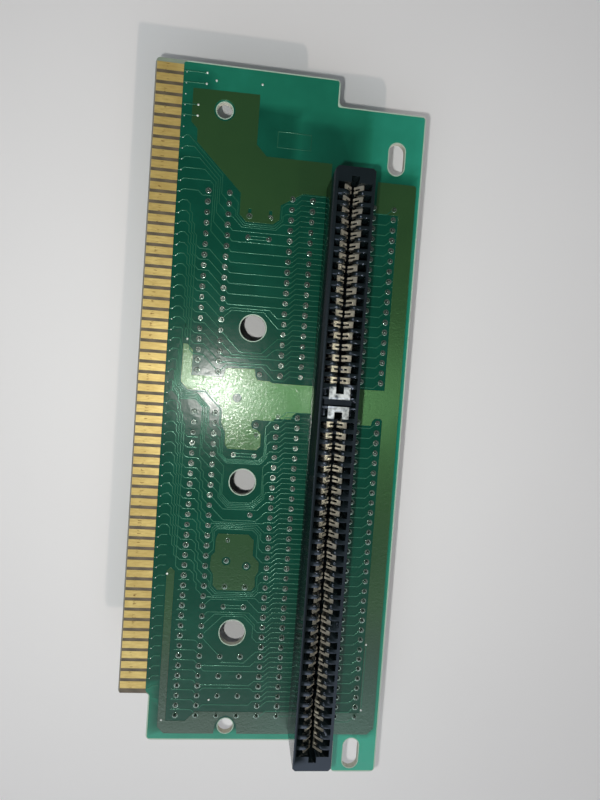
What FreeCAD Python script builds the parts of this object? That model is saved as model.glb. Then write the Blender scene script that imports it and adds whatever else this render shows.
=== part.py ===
# Riser card: a circuit board with edge fingers, one expansion slot on its front and three on its back.
# The card lies flat on the mouths of the back slots, front face up, fingers towards -X.
import FreeCAD, Part
import math
import os
import Sketcher
from FreeCAD import Placement, Rotation, Vector

doc = FreeCAD.newDocument("riser_card")
sheet = doc.addObject("Spreadsheet::Sheet", "sizes")

# Driving dimensions in millimetres, and counts.
dimensions = {
    # Contact grid shared by the slots, the fingers and the board.
    "pitch": 2.54,
    "upper_count": 18,
    "lower_count": 31,
    "key_steps": 4,
    # Board outline.
    "board_width": 66.3,
    "board_length": 173.9,
    "board_thickness": 1.6,
    "notch_width": 22.0,
    "notch_depth": 6.3,
    "foot_width": 11.7,
    "foot_drop": 8.25,
    "tab_reach": 7.4,
    "tab_length": 153.8,
    "corner_radius": 1.2,
    "tab_radius": 0.7,
    "edge_bevel": 0.4,
    # Holes in the board.
    "round_hole": 6.35,
    "round_hole_x": -6.1,
    "round_hole_y": 25.2,
    "round_hole_count": 3,
    "round_hole_step": 38.1,
    "screw_hole": 3.8,
    "top_screw_x": -16.3,
    "top_screw_y": 76.4,
    "low_screw_x": -6.25,
    "low_screw_y": -75.0,
    "oblong_width": 4.0,
    "oblong_length": 7.8,
    "oblong_x": 26.45,
    "oblong_top_y": 69.5,
    "oblong_low_y": -82.0,
    # Edge fingers.
    "finger_count": 60,
    "finger_first_y": 85.1,
    "finger_length": 6.25,
    "finger_width": 1.75,
    "finger_thickness": 0.05,
    # Expansion slot housing.
    "slot_length": 138.0,
    "slot_width": 9.0,
    "slot_height": 14.5,
    "slot_corner": 0.6,
    "slot_y": -7.6,
    "cell_width": 7.6,
    "cell_length": 1.6,
    "cell_depth": 13.0,
    "card_gap": 1.8,
    "card_depth": 10.5,
    "card_overrun": 3.0,
    "card_end": 2.2,
    "key_gap": 1.6,
    "key_depth": 5.0,
    "key_pocket_width": 1.4,
    "key_pocket_length": 2.0,
    "key_pocket_step": 2.3,
    # Spring contact: foot, knee and lead-in tip, measured from the slot's middle and base.
    "contact_width": 1.36,
    "foot_length": 0.3,
    "foot_reach": 2.69,
    "knee_reach": 0.64,
    "knee_height": 11.1,
    "tip_reach": 2.25,
    "tip_height": 13.3,
    # Places of the slots across the card.
    "front_slot_x": 14.1,
    "back_slot_x": -16.4,
    "back_slot_step": 20.32,
    # Ceramic capacitors on the back.
    "capacitor_x": -6.2,
    "capacitor_width": 6.2,
    "capacitor_height": 4.6,
    "capacitor_thickness": 1.5,
    "capacitor_corner": 1.3,
}
for line, (alias, amount) in enumerate(dimensions.items(), start=1):
    sheet.set(f"A{line}", alias)
    sheet.set(f"B{line}", str(amount))
    sheet.setAlias(f"B{line}", alias)
doc.recompute()

# Formulas used by several pieces.
board_back = "sizes.slot_height"
board_front = "(sizes.slot_height + sizes.board_thickness)"
half_width = "sizes.board_width / 2"
half_length = "sizes.board_length / 2"
half_rows = "sizes.pitch * (sizes.upper_count + sizes.lower_count + sizes.key_steps - 2) / 2"
upper_last = f"({half_rows} - sizes.pitch * (sizes.upper_count - 1))"
lower_first = f"({upper_last} - sizes.pitch * sizes.key_steps)"


def bind(sketch, kind, geometry, vertex, name, formula):
    """Ties a vertex to the sketch origin by a signed distance."""
    distance = sketch.evalExpression(formula)
    index = sketch.addConstraint(Sketcher.Constraint(kind, -1, 1, geometry, vertex, distance))
    sketch.renameConstraint(index, name)
    sketch.setExpression("Constraints." + name, formula)


def new_body(label):
    body = doc.addObject("PartDesign::Body", label)
    body.Label = label
    return body


def new_sketch(body, name, role, offset="0"):
    """Attaches a sketch to one of the body's own origin planes, moved along its normal."""
    sketch = body.newObject("Sketcher::SketchObject", name)
    plane = next(item for item in body.Origin.OriginFeatures if item.Role == role)
    sketch.AttachmentSupport = [(plane, "")]
    sketch.MapMode = "FlatFace"
    sketch.setExpression("AttachmentOffset.Base.z", offset)
    return sketch


def polygon(sketch, corners):
    """Closed outline whose corners are pairs of formulas."""
    places = [Vector(sketch.evalExpression(across), sketch.evalExpression(up), 0) for across, up in corners]
    start = sketch.GeometryCount
    count = len(places)
    for step in range(count):
        sketch.addGeometry(Part.LineSegment(places[step], places[(step + 1) % count]), False)
    for step in range(count):
        following = start + (step + 1) % count
        sketch.addConstraint(Sketcher.Constraint("Coincident", start + step, 2, following, 1))
    for step, (across, up) in enumerate(corners):
        bind(sketch, "DistanceX", start + step, 1, f"across_{start + step}", across)
        bind(sketch, "DistanceY", start + step, 1, f"up_{start + step}", up)


def rectangle(sketch, left, right, bottom, top):
    polygon(sketch, [(left, bottom), (right, bottom), (right, top), (left, top)])


def circle(sketch, across, up, diameter):
    centre = Vector(sketch.evalExpression(across), sketch.evalExpression(up), 0)
    radius = sketch.evalExpression(f"{diameter} / 2")
    index = sketch.addGeometry(Part.Circle(centre, Vector(0, 0, 1), radius), False)
    bind(sketch, "DistanceX", index, 3, f"across_{index}", across)
    bind(sketch, "DistanceY", index, 3, f"up_{index}", up)
    size = sketch.addConstraint(Sketcher.Constraint("Diameter", index, 2 * radius))
    sketch.renameConstraint(size, f"diameter_{index}")
    sketch.setExpression(f"Constraints.diameter_{index}", diameter)


def oblong(sketch, across, up, width, length):
    """Slot with round ends, its long side along the sketch's second axis."""
    x, y = sketch.evalExpression(across), sketch.evalExpression(up)
    radius = sketch.evalExpression(f"{width} / 2")
    reach = sketch.evalExpression(f"({length} - {width}) / 2")
    axis = Vector(0, 0, 1)
    half_turn = math.pi
    first = sketch.GeometryCount
    end_circle = Part.Circle(Vector(x, y + reach, 0), axis, radius)
    sketch.addGeometry(Part.ArcOfCircle(end_circle, 0, half_turn), False)
    sketch.addGeometry(Part.LineSegment(Vector(x - radius, y + reach, 0), Vector(x - radius, y - reach, 0)), False)
    end_circle = Part.Circle(Vector(x, y - reach, 0), axis, radius)
    sketch.addGeometry(Part.ArcOfCircle(end_circle, half_turn, 2 * half_turn), False)
    sketch.addGeometry(Part.LineSegment(Vector(x + radius, y - reach, 0), Vector(x + radius, y + reach, 0)), False)
    sketch.addConstraint(Sketcher.Constraint("Tangent", first, 2, first + 1, 1))
    sketch.addConstraint(Sketcher.Constraint("Tangent", first + 1, 2, first + 2, 1))
    sketch.addConstraint(Sketcher.Constraint("Tangent", first + 2, 2, first + 3, 1))
    sketch.addConstraint(Sketcher.Constraint("Tangent", first + 3, 2, first, 1))
    bind(sketch, "DistanceX", first, 3, f"across_{first}", across)
    bind(sketch, "DistanceY", first, 3, f"upper_{first}", f"{up} + ({length} - {width}) / 2")
    bind(sketch, "DistanceX", first + 2, 3, f"across_{first + 2}", across)
    bind(sketch, "DistanceY", first + 2, 3, f"lower_{first}", f"{up} - ({length} - {width}) / 2")
    size = sketch.addConstraint(Sketcher.Constraint("Radius", first, radius))
    sketch.renameConstraint(size, f"radius_{first}")
    sketch.setExpression(f"Constraints.radius_{first}", f"{width} / 2")


def pad(body, sketch, length, midplane=False):
    feature = body.newObject("PartDesign::Pad", sketch.Name + "_pad")
    feature.Profile = sketch
    feature.setExpression("Length", length)
    feature.Midplane = midplane
    doc.recompute()
    return feature


def pocket(body, sketch, depth, midplane=False):
    """Cuts the sketch into the body and makes sure that material was removed."""
    before = body.Shape.Volume
    feature = body.newObject("PartDesign::Pocket", sketch.Name + "_pocket")
    feature.Profile = sketch
    feature.setExpression("Length", depth)
    feature.Midplane = midplane
    doc.recompute()
    if body.Shape.Volume >= before:
        raise RuntimeError(f"{feature.Name} removed nothing")
    return feature


def pattern(body, feature, count, step):
    """Repeats a feature along the card, from its first place towards -Y."""
    row = body.newObject("PartDesign::LinearPattern", feature.Name + "_row")
    row.Originals = [feature]
    axis = next(item for item in body.Origin.OriginFeatures if item.Role == "Y_Axis")
    row.Direction = (axis, [""])
    row.Reversed = True
    row.setExpression("Length", f"{step} * ({count} - 1)")
    row.setExpression("Occurrences", count)
    body.Tip = row
    doc.recompute()
    return row


def edges_along(feature, direction, wanted=lambda spot: True):
    """Names of the straight edges along a direction whose place passes the test."""
    names = []
    for index, edge in enumerate(feature.Shape.Edges, start=1):
        start, end = edge.Vertexes[0].Point, edge.Vertexes[-1].Point
        if (end - start).cross(direction).Length < 1e-6 and wanted(start):
            names.append(f"Edge{index}")
    return names


def dress(body, kind, feature, names, size_property, size):
    """Adds a fillet or chamfer on named edges of the feature."""
    dressing = body.newObject("PartDesign::" + kind, f"{feature.Name}_{kind.lower()}")
    dressing.Base = (feature, names)
    dressing.setExpression(size_property, size)
    doc.recompute()
    return dressing


def place(body, x, y, z, flipped=False):
    """Puts a body on the card; a flipped one hangs from the back face."""
    body.Placement = Placement(Vector(), Rotation(Vector(0, 1, 0), 180 if flipped else 0))
    for axis, formula in (("x", x), ("y", y), ("z", z)):
        body.setExpression(f"Placement.Base.{axis}", formula)


def make_board():
    body = new_body("board")
    right = half_width
    notch_x = f"{half_width} - sizes.notch_width"
    notch_y = f"{half_length} - sizes.notch_depth"
    foot_x = f"{half_width} - sizes.foot_width"
    main_low = f"sizes.foot_drop - {half_length}"
    main_left = f"sizes.tab_reach - {half_width}"
    tab_low = f"{half_length} - sizes.tab_length"
    outline = new_sketch(body, "board_outline", "XY_Plane")
    polygon(outline, [
        (f"-{half_width}", half_length),
        (notch_x, half_length),
        (notch_x, notch_y),
        (right, notch_y),
        (right, f"-{half_length}"),
        (foot_x, f"-{half_length}"),
        (foot_x, main_low),
        (main_left, main_low),
        (main_left, tab_low),
        (f"-{half_width}", tab_low),
    ])
    plate = pad(body, outline, "sizes.board_thickness")

    # Rounded corners: the finger tab's two lower ones are tighter.
    tab_y = body.evalExpression(tab_low)
    corners = edges_along(plate, Vector(0, 0, 1), lambda spot: abs(spot.y - tab_y) > 1)
    rounded = dress(body, "Fillet", plate, corners, "Radius", "sizes.corner_radius")
    corners = edges_along(rounded, Vector(0, 0, 1), lambda spot: abs(spot.y - tab_y) < 0.01)
    dress(body, "Fillet", rounded, corners, "Radius", "sizes.tab_radius")

    # Bevels along both faces of the finger edge.
    bevels = new_sketch(body, "finger_bevels", "XZ_Plane")
    past = f"-{half_width} - 1"
    inner = f"sizes.edge_bevel - {half_width}"
    polygon(bevels, [
        (past, "sizes.board_thickness + 1"),
        (past, "sizes.board_thickness - sizes.edge_bevel - 1"),
        (inner, "sizes.board_thickness"),
        (inner, "sizes.board_thickness + 1"),
    ])
    polygon(bevels, [(past, "-1"), (inner, "-1"), (inner, "0"), (past, "sizes.edge_bevel + 1")])
    pocket(body, bevels, "2 * sizes.board_length", midplane=True)

    # Holes: three large ones in a line, two screw holes and two oblong bracket holes.
    large = new_sketch(body, "large_hole", "XY_Plane")
    circle(large, "sizes.round_hole_x", "sizes.round_hole_y", "sizes.round_hole")
    hole = pocket(body, large, "4 * sizes.board_thickness", midplane=True)
    pattern(body, hole, "sizes.round_hole_count", "sizes.round_hole_step")
    small = new_sketch(body, "small_holes", "XY_Plane")
    circle(small, "sizes.top_screw_x", "sizes.top_screw_y", "sizes.screw_hole")
    circle(small, "sizes.low_screw_x", "sizes.low_screw_y", "sizes.screw_hole")
    oblong(small, "sizes.oblong_x", "sizes.oblong_top_y", "sizes.oblong_width", "sizes.oblong_length")
    oblong(small, "sizes.oblong_x", "sizes.oblong_low_y", "sizes.oblong_width", "sizes.oblong_length")
    pocket(body, small, "4 * sizes.board_thickness", midplane=True)
    place(body, "0", "0", board_back)
    return body


def make_fingers(label, height):
    """One row of plated pads along the left edge."""
    body = new_body(label)
    left = f"(sizes.edge_bevel - {half_width})"
    first = new_sketch(body, label + "_outline", "XY_Plane")
    rectangle(first, left, f"{left} + sizes.finger_length",
              "sizes.finger_first_y - sizes.finger_width / 2", "sizes.finger_first_y + sizes.finger_width / 2")
    finger = pad(body, first, "sizes.finger_thickness")
    pattern(body, finger, "sizes.finger_count", "sizes.pitch")
    place(body, "0", "0", height)
    return body


def make_housing(label, x, y, z, flipped):
    """Moulded slot body: open contact cells, a card gap in two lengths and a recessed key."""
    body = new_body(label)
    outline = new_sketch(body, label + "_outline", "XY_Plane")
    rectangle(outline, "-sizes.slot_width / 2", "sizes.slot_width / 2",
              "-sizes.slot_length / 2", "sizes.slot_length / 2")
    block = pad(body, outline, "sizes.slot_height")
    corners = edges_along(block, Vector(0, 0, 1))
    dress(body, "Chamfer", block, corners, "Size", "sizes.slot_corner")

    # One cell per contact pair, repeated over the upper and lower groups.
    groups = (("upper", half_rows, "sizes.upper_count"), ("lower", lower_first, "sizes.lower_count"))
    for group, first_y, count in groups:
        cell = new_sketch(body, f"{label}_{group}_cell", "XY_Plane", "sizes.slot_height")
        rectangle(cell, "-sizes.cell_width / 2", "sizes.cell_width / 2",
                  f"{first_y} - sizes.cell_length / 2", f"{first_y} + sizes.cell_length / 2")
        opening = pocket(body, cell, "sizes.cell_depth")
        pattern(body, opening, count, "sizes.pitch")

    # Card gap above the stop, broken at the key, and the recess between the two lengths.
    gap = new_sketch(body, label + "_card_gap", "XY_Plane", "sizes.slot_height")
    side = "sizes.card_gap / 2"
    end = f"{half_rows} + sizes.card_end"
    rectangle(gap, f"-{side}", side, f"{upper_last} - sizes.card_overrun", end)
    rectangle(gap, f"-{side}", side, f"-({end})", f"{lower_first} + sizes.card_overrun")
    pocket(body, gap, "sizes.card_depth")
    middle = f"({upper_last} + {lower_first}) / 2"
    recess = new_sketch(body, label + "_key_recess", "XY_Plane", "sizes.slot_height")
    rectangle(recess, "-sizes.cell_width / 2", "sizes.cell_width / 2",
              f"{middle} - sizes.key_gap / 2", f"{middle} + sizes.key_gap / 2")
    pocket(body, recess, "sizes.key_depth")

    # Hollows either side of the two solid ends that face each other across the key.
    hollows = new_sketch(body, label + "_key_hollows", "XY_Plane", "sizes.slot_height")
    outer = "sizes.cell_width / 2"
    inner = f"({outer} - sizes.key_pocket_width)"
    for toward in (1, -1):
        near = f"{middle} + {toward} * sizes.key_pocket_step"
        low, high = f"{near} - sizes.key_pocket_length / 2", f"{near} + sizes.key_pocket_length / 2"
        rectangle(hollows, f"-{outer}", f"-{inner}", low, high)
        rectangle(hollows, inner, outer, low, high)
    pocket(body, hollows, "sizes.key_depth")
    place(body, x, y, z, flipped)
    return body


def make_contacts(label, side, x, y, z, flipped):
    """One row of spring contacts: each leans from its foot to a knee and opens to a lead-in tip."""
    body = new_body(label)
    floor = "sizes.slot_height - sizes.cell_depth"
    profile = [
        (f"{side} * sizes.foot_reach", floor),
        (f"{side} * (sizes.foot_reach - sizes.foot_length)", floor),
        (f"{side} * sizes.knee_reach", "sizes.knee_height"),
        (f"{side} * sizes.tip_reach", "sizes.tip_height"),
    ]
    groups = (("upper", half_rows, "sizes.upper_count"), ("lower", lower_first, "sizes.lower_count"))
    for group, first_y, count in groups:
        section = new_sketch(body, f"{label}_{group}_profile", "XZ_Plane", f"-({first_y})")
        polygon(section, profile)
        contact = pad(body, section, "sizes.contact_width", midplane=True)
        pattern(body, contact, count, "sizes.pitch")
    place(body, x, y, z, flipped)
    return body


def make_capacitor(label, row):
    """Flat ceramic capacitor standing on the back face, with clipped corners."""
    body = new_body(label)
    front = new_sketch(body, label + "_face", "XZ_Plane")
    rectangle(front, "-sizes.capacitor_width / 2", "sizes.capacitor_width / 2", "-sizes.capacitor_height", "0")
    slab = pad(body, front, "sizes.capacitor_thickness", midplane=True)
    corners = edges_along(slab, Vector(0, 1, 0))
    dress(body, "Chamfer", slab, corners, "Size", "sizes.capacitor_corner")
    place(body, "sizes.capacitor_x", f"sizes.slot_y + {half_rows} - {row} * sizes.pitch", board_back)
    return body


# Pieces of the card.
pieces = [make_board(), make_fingers("edge_fingers_front", board_front)]
pieces.append(make_fingers("edge_fingers_back", f"{board_back} - sizes.finger_thickness"))
slots = [("front_slot", "sizes.front_slot_x", board_front, False)]
for number in range(3):
    slots.append((f"back_slot_{number + 1}", f"sizes.back_slot_x + {number} * sizes.back_slot_step", board_back, True))
for slot, x, z, flipped in slots:
    pieces.append(make_housing(slot + "_housing", x, "sizes.slot_y", z, flipped))
    pieces.append(make_contacts(slot + "_contacts_left", -1, x, "sizes.slot_y", z, flipped))
    pieces.append(make_contacts(slot + "_contacts_right", 1, x, "sizes.slot_y", z, flipped))
for number, row in enumerate((2, 4, 38, 40, 45, 47, 49, 51), start=1):
    pieces.append(make_capacitor(f"capacitor_{number}", row))
doc.recompute()

# Every object must be sound before anything is written.
for item in doc.Objects:
    if "Invalid" in item.State or "Error" in item.State:
        raise RuntimeError(f"{item.Name} failed: {item.State}")
for piece in pieces:
    if piece.Shape.isNull() or not piece.Shape.isValid():
        raise RuntimeError(f"{piece.Label} has no valid shape")

os.makedirs("parts", exist_ok=True)
for piece in pieces:
    piece.Shape.exportStep(f"parts/{piece.Label}.step")
    print(f"{piece.Label}: {len(piece.Shape.Solids)} solids, {piece.Shape.Volume:.1f} mm3")
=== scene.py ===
import math
import random

import bpy
from mathutils import Euler, Matrix, Vector


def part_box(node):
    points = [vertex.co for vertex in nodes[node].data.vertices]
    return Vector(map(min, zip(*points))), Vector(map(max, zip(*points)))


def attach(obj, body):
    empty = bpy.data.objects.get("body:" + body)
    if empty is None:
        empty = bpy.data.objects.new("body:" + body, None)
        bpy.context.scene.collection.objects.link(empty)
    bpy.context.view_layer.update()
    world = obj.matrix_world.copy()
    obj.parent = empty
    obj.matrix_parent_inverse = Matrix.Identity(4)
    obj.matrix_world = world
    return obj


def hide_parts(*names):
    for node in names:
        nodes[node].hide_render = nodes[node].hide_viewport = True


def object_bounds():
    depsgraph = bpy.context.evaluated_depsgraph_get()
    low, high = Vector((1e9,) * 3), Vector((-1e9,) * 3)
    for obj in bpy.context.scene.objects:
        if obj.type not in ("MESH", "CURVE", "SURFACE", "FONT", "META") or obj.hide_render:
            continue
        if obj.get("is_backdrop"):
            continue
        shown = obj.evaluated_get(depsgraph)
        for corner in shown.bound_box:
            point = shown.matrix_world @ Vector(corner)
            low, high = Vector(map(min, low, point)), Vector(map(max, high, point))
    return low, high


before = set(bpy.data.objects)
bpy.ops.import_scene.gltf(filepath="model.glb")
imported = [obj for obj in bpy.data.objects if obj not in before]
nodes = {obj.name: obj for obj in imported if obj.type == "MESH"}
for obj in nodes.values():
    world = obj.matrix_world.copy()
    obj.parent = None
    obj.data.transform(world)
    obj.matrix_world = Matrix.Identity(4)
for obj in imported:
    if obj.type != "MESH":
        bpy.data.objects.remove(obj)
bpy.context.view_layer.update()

mm = 0.001
pitch = 2.54 * mm                                    # the tenth-inch grid that the card is drawn on
middleColumn, middleRow = 7.45, 22.515               # the card's middle, in grid steps from the first joint
contactRows = list(range(18)) + list(range(21, 52))  # the key lies between rows 17 and 21
frontSlotColumn, keyRow = 13, 19                     # the middle of the front slot and of its key
boardFront, boardBack = 16.1 * mm, 14.5 * mm
slotTop = 30.6 * mm
slotNames = ("front_slot", "back_slot_1", "back_slot_2", "back_slot_3")
shuffle = random.Random(11)                          # seeded, so every run bends the same tails
print("frame loaded:", len(nodes), "nodes")


def spot(u, v):                                      # grid steps, right and down from the first joint
    return (u - middleColumn) * pitch, (middleRow - v) * pitch


def toLinear(hexColour):
    parts = [int(hexColour[i:i + 2], 16) / 255 for i in (1, 3, 5)]
    return tuple(c / 12.92 if c <= 0.04045 else ((c + 0.055) / 1.055) ** 2.4 for c in parts) + (1.0,)


def plug(tree, item, inputs):
    for key, value in inputs.items():
        if isinstance(value, str):                   # a colour
            value = toLinear(value)
        if isinstance(value, bpy.types.Node):        # a node stands for its first output in use
            value = next(output for output in value.outputs if output.enabled)
        if isinstance(value, bpy.types.NodeSocket):
            tree.links.new(value, item.inputs[key])
        else:
            item.inputs[key].default_value = value


def addNode(tree, kind, inputs, **settings):
    item = tree.nodes.new("ShaderNode" + kind)
    for key, value in settings.items():
        setattr(item, key, value)
    plug(tree, item, inputs)
    return item


def startMaterial(name):
    material = bpy.data.materials.new(name)
    material.use_nodes = True
    tree = material.node_tree
    place = addNode(tree, "TexCoord", {}).outputs["Object"]
    return material, tree, tree.nodes["Principled BSDF"], place


def pick(piece):
    if bpy.context.mode != "OBJECT":
        bpy.ops.object.mode_set(mode="OBJECT")
    bpy.ops.object.select_all(action="DESELECT")
    piece.select_set(True)
    bpy.context.view_layer.objects.active = piece


def settle(piece):
    pick(piece)
    bpy.ops.object.transform_apply(location=True, rotation=True, scale=True)


def applyAll(piece):
    pick(piece)
    for modifier in list(piece.modifiers):
        bpy.ops.object.modifier_apply(modifier=modifier.name)


def faceOutward(piece):
    pick(piece)
    bpy.ops.object.mode_set(mode="EDIT")
    bpy.ops.mesh.select_all(action="SELECT")
    bpy.ops.mesh.normals_make_consistent(inside=False)
    bpy.ops.object.mode_set(mode="OBJECT")


def addPiece(piece, name, material, slot, *stoodFor):
    piece.name = piece.data.name = name
    if material:                                     # a piece of two finishes brings its own
        piece.data.materials.clear()
        piece.data.materials.append(material)
    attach(piece, "root")
    if stoodFor:
        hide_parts(*stoodFor)


def joinCopies(master, places):
    copies = []
    for place in places:
        copy = master.copy()
        copy.data = master.data.copy()
        copy.data.transform(place)
        bpy.context.collection.objects.link(copy)
        copies.append(copy)
    pick(copies[0])
    for copy in copies:
        copy.select_set(True)
    bpy.ops.object.join()
    return copies[0]


smooth = {"interpolation_type": "SMOOTHSTEP"}        # a soft start and end to a change of tint

# Solder mask, liquid photo-imaged: a glossy green film, deeper where the other side has copper (depth
# up to 1), and clear teal along the margins, painted light for the light that comes up through the
# laminate (down to -1).
maskGreen, tree, shader, place = startMaterial("solderMaskGreen")
depth = addNode(tree, "Attribute", {}, attribute_name="depth").outputs["Fac"]
cloud = addNode(tree, "TexNoise", {"Vector": place, "Scale": 1 / (9 * mm), "Detail": 3.0})
uneven = addNode(tree, "MapRange", {"Value": cloud, "From Min": 0.3, "From Max": 0.7,
                                    "To Min": -0.12, "To Max": 0.12})
deepness = addNode(tree, "Math", {0: depth, 1: uneven}, operation="ADD")
backed = addNode(tree, "MapRange", {"Value": deepness, "From Min": 0.0, "From Max": 1.0})
glowing = addNode(tree, "MapRange", {"Value": deepness, "From Min": 0.0, "From Max": -1.0})
film = addNode(tree, "Mix", {0: backed, 6: "#1b735b", 7: "#044434"}, data_type="RGBA")
film = addNode(tree, "Mix", {0: glowing, 6: film, 7: "#33a68c"}, data_type="RGBA")
ripple = addNode(tree, "TexNoise", {"Vector": place, "Scale": 1 / (1.4 * mm), "Detail": 2.0})
swell = addNode(tree, "Bump", {"Height": ripple, "Strength": 0.35, "Distance": 0.08 * mm})
plug(tree, shader, {"Base Color": film, "Normal": swell, "Roughness": 0.2, "Specular IOR Level": 0.3})

# The same film over tinned copper: olive, deeper down the card and greyer at the right of its foot, with
# the wrinkles of the tin and a clear gloss on top.
maskOverCopper, tree, shader, place = startMaterial("maskOverTinnedCopper")
# where each change of tint starts and is full, in mm
oliveFields = {"below": ("Y", -5, -35), "foot": ("Y", -40, -66), "right": ("X", -8, 14)}
axes = addNode(tree, "SeparateXYZ", {0: place}).outputs
shares = {}
for field, (axis, start, full) in oliveFields.items():
    inputs = {"Value": axes[axis], "From Min": start * mm, "From Max": full * mm}
    shares[field] = addNode(tree, "MapRange", inputs, **smooth)
corner = addNode(tree, "Math", {0: shares["foot"], 1: shares["right"]}, operation="MULTIPLY")
cloud = addNode(tree, "TexNoise", {"Vector": place, "Scale": 1 / (12 * mm), "Detail": 4.0})
olive = addNode(tree, "Mix", {0: cloud, 6: "#306134", 7: "#406e3b"}, data_type="RGBA")
for share, tint in ((shares["below"], "#2c592f"), (shares["foot"], "#1b3c25"), (corner, "#194632")):
    olive = addNode(tree, "Mix", {0: share, 6: olive, 7: tint}, data_type="RGBA")
crease = addNode(tree, "TexNoise", {"Vector": place, "Scale": 1 / (0.55 * mm), "Detail": 3.0,
                                    "Distortion": 1.0})
wrinkle = addNode(tree, "Bump", {"Height": crease, "Strength": 0.4, "Distance": 0.12 * mm})
rolled = addNode(tree, "Tangent", {}, direction_type="RADIAL", axis="Y")   # sheens stretch across the card
plug(tree, shader, {"Base Color": olive, "Normal": wrinkle, "Coat Normal": wrinkle, "Tangent": rolled,
                    "Metallic": 0.6, "Roughness": 0.42, "Anisotropic": 0.85,
                    "Coat Weight": 1.0, "Coat Roughness": 0.16, "Coat IOR": 1.46})

# The film over a single trace: paler grey-green, glinting along its rounded shoulders.
maskOverTrace, tree, shader, place = startMaterial("maskOverTrace")
cloud = addNode(tree, "TexNoise", {"Vector": place, "Scale": 1 / (6 * mm), "Detail": 3.0})
sage = addNode(tree, "Mix", {0: cloud, 6: "#16503c", 7: "#226048"}, data_type="RGBA")
plug(tree, shader, {"Base Color": sage, "Roughness": 0.25, "Specular IOR Level": 1.0,
                    "Specular Tint": "#b4f2d8"})

# Glass-epoxy laminate, bare: dark khaki between the fingers with a faint weave, the darkness in part painted
# shade for the shadowed table seen through the laminate; pale green along the film and towards the card's
# head, and paler still where it was sawn or drilled.
laminate, tree, shader, place = startMaterial("glassEpoxyLaminate")
# where each change of tint starts and is full, in mm
bareRim = {"filmSide": (-26.4, -25.6), "head": (84.0, 86.0), "headShare": 0.45}
facing = addNode(tree, "SeparateXYZ", {0: addNode(tree, "TexCoord", {}).outputs["Normal"]})
level = addNode(tree, "Math", {0: facing.outputs["Z"]}, operation="ABSOLUTE")
weave = addNode(tree, "TexWave", {"Vector": place, "Scale": 1 / (7 * mm), "Distortion": 1.5, "Detail": 2.0},
                bands_direction="DIAGONAL")
# the khaki face is darkened in part as painted shade for the shadowed table seen through it
face = addNode(tree, "Mix", {0: weave.outputs["Fac"], 6: "#534c3c", 7: "#635a48"}, data_type="RGBA")
axes = addNode(tree, "SeparateXYZ", {0: place}).outputs
start, full = bareRim["filmSide"]
filmward = addNode(tree, "MapRange", {"Value": axes["X"], "From Min": start * mm, "From Max": full * mm})
start, full = bareRim["head"]
headward = addNode(tree, "MapRange", {"Value": axes["Y"], "From Min": start * mm, "From Max": full * mm,
                                      "To Max": bareRim["headShare"]})
clear = addNode(tree, "Math", {0: filmward, 1: headward}, operation="MAXIMUM")
rim = addNode(tree, "Mix", {0: clear, 6: face, 7: "#a9c4b2"}, data_type="RGBA")
sawn = addNode(tree, "Mix", {0: level, 6: "#d0d2c4", 7: rim}, data_type="RGBA")
fibre = addNode(tree, "TexNoise", {"Vector": place, "Scale": 1 / (0.4 * mm), "Detail": 2.0})
rough = addNode(tree, "Bump", {"Height": fibre, "Strength": 0.25, "Distance": 0.05 * mm})
plug(tree, shader, {"Base Color": sawn, "Normal": rough, "Roughness": 0.55})

# Hard gold over nickel: warm and satin, faintly streaked along each finger, with a broken row of brown
# flecks where sockets have wiped it.
gold, tree, shader, place = startMaterial("hardGoldPlating")
# where the row lies and how wide it is, in mm; its flecks are drawn out along the fingers
wipeMark = {"across": -30.35, "soft": 0.6, "full": 0.3, "stretch": (0.3, 1.4, 1.0)}
axes = addNode(tree, "SeparateXYZ", {0: place}).outputs
tarnish = addNode(tree, "TexNoise", {"Vector": place, "Scale": 1 / (6 * mm), "Detail": 4.0})
wiped = addNode(tree, "Mapping", {"Vector": place, "Scale": wipeMark["stretch"]})
streaks = addNode(tree, "TexNoise", {"Vector": wiped, "Scale": 1 / (0.6 * mm), "Detail": 2.0})
blend = addNode(tree, "Math", {0: tarnish, 1: streaks}, operation="MULTIPLY")
varied = addNode(tree, "MapRange", {"Value": blend, "From Min": 0.1, "From Max": 0.42})
tone = addNode(tree, "Mix", {0: varied, 6: "#bba15b", 7: "#d8c279"}, data_type="RGBA")
aside = addNode(tree, "Math", {0: axes["X"], 1: wipeMark["across"] * mm}, operation="SUBTRACT")
away = addNode(tree, "Math", {0: aside}, operation="ABSOLUTE")
line = addNode(tree, "MapRange", {"Value": away, "From Min": wipeMark["soft"] * mm,
                                  "From Max": wipeMark["full"] * mm}, **smooth)
specks = addNode(tree, "TexNoise", {"Vector": wiped, "Scale": 1 / (0.45 * mm), "Detail": 1.0})
broken = addNode(tree, "MapRange", {"Value": specks, "From Min": 0.57, "From Max": 0.7})
scuff = addNode(tree, "Math", {0: line, 1: broken}, operation="MULTIPLY")
worn = addNode(tree, "Mix", {0: scuff, 6: tone, 7: "#86672f"}, data_type="RGBA")
plug(tree, shader, {"Base Color": worn, "Metallic": 0.35, "Roughness": 0.42})

# Tin-lead solder: pale grey metal with a slightly dulled skin, tinted green as a painted reflection of the
# film around it.
solder, tree, shader, place = startMaterial("tinLeadSolder")
dull = addNode(tree, "TexNoise", {"Vector": place, "Scale": 1 / (0.8 * mm), "Detail": 3.0})
skin = addNode(tree, "Mix", {0: dull, 6: "#6a8174", 7: "#a0b8aa"}, data_type="RGBA")
haze = addNode(tree, "MapRange", {"Value": dull, "To Min": 0.12, "To Max": 0.24})
plug(tree, shader, {"Base Color": skin, "Roughness": haze, "Metallic": 0.75})

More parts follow.
